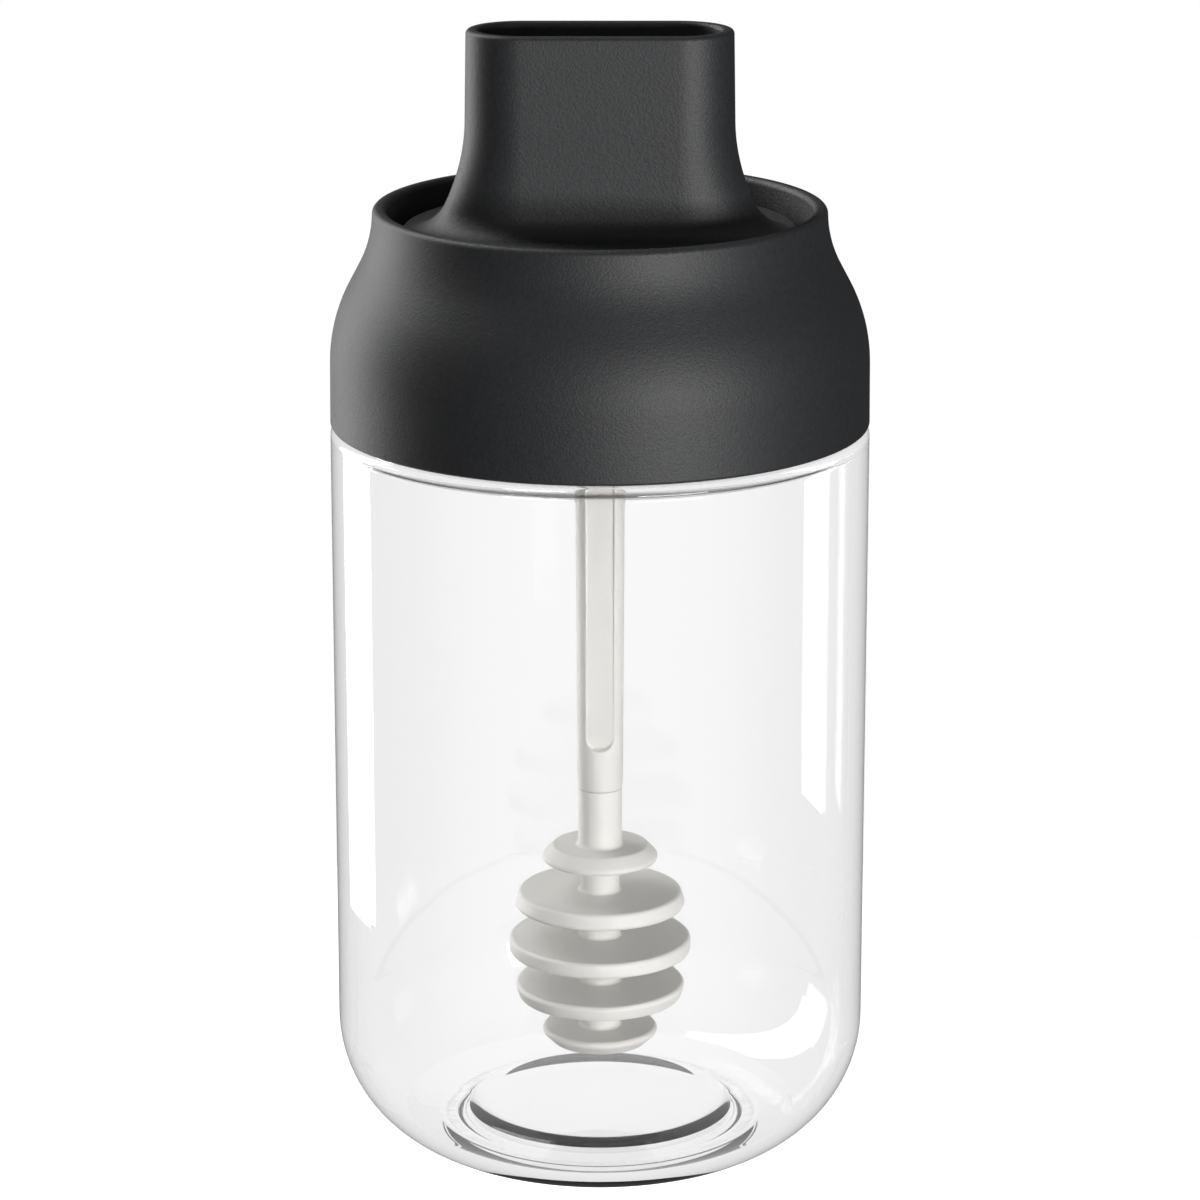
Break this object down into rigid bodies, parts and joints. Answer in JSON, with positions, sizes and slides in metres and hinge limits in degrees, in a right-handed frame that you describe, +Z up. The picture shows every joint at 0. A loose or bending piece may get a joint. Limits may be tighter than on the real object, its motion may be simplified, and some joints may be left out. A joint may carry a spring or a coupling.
{
  "type": "honey jar with dipper lid",
  "caption": "Clear glass honey jar with a black screw collar and a lift-out stopper that carries a long honey dipper down into the jar.",
  "frame": {"origin": "centre of the base, on the surface the jar stands on", "axes": "+Z up the axis of the jar, +X along the wide side of the handle, -Y towards the front panel of the stem"},
  "size_m": [0.072, 0.072, 0.1538],
  "materials": {
    "clear_glass": "polished clear soda-lime glass",
    "black_plastic": "fine spark-eroded matt moulding",
    "inner_plastic": "plain smooth moulding",
    "silicone": "translucent white silicone",
    "pale_plastic": "off-white satin moulding"
  },
  "bodies": {
    "jar": {"glass_jar": "clear_glass"},
    "gasket": {"jar_gasket": "silicone"},
    "collar": {"collar_shell": "black_plastic", "collar_thread_ring": "inner_plastic"},
    "seal": {"stopper_seal": "silicone"},
    "stopper": {"stopper_handle": "black_plastic", "stopper_plug": "inner_plastic", "dipper_stem": "pale_plastic", "dipper_head": "pale_plastic"}
  },
  "joints": [
    {"name": "lid_rise", "type": "slide", "parent": "jar", "child": "gasket", "axis": [0, 0, 1], "range_m": [0, 0.00501]},
    {"name": "lid_turn", "type": "hinge", "parent": "gasket", "child": "collar", "pos_m": [0, 0, 0.115], "axis": [0, 0, 1], "range_deg": [0, 450]},
    {"name": "dipper_lift", "type": "slide", "parent": "collar", "child": "seal", "axis": [0, 0, 1], "range_m": [0, 0.12]},
    {"name": "dipper_twirl", "type": "hinge", "parent": "seal", "child": "stopper", "pos_m": [0, 0, 0.12], "axis": [0, 0, 1], "continuous": true}
  ],
  "couplings": [
    {"joint": "lid_rise", "follows": "lid_turn", "m_per_rad": 0.00063662}
  ]
}
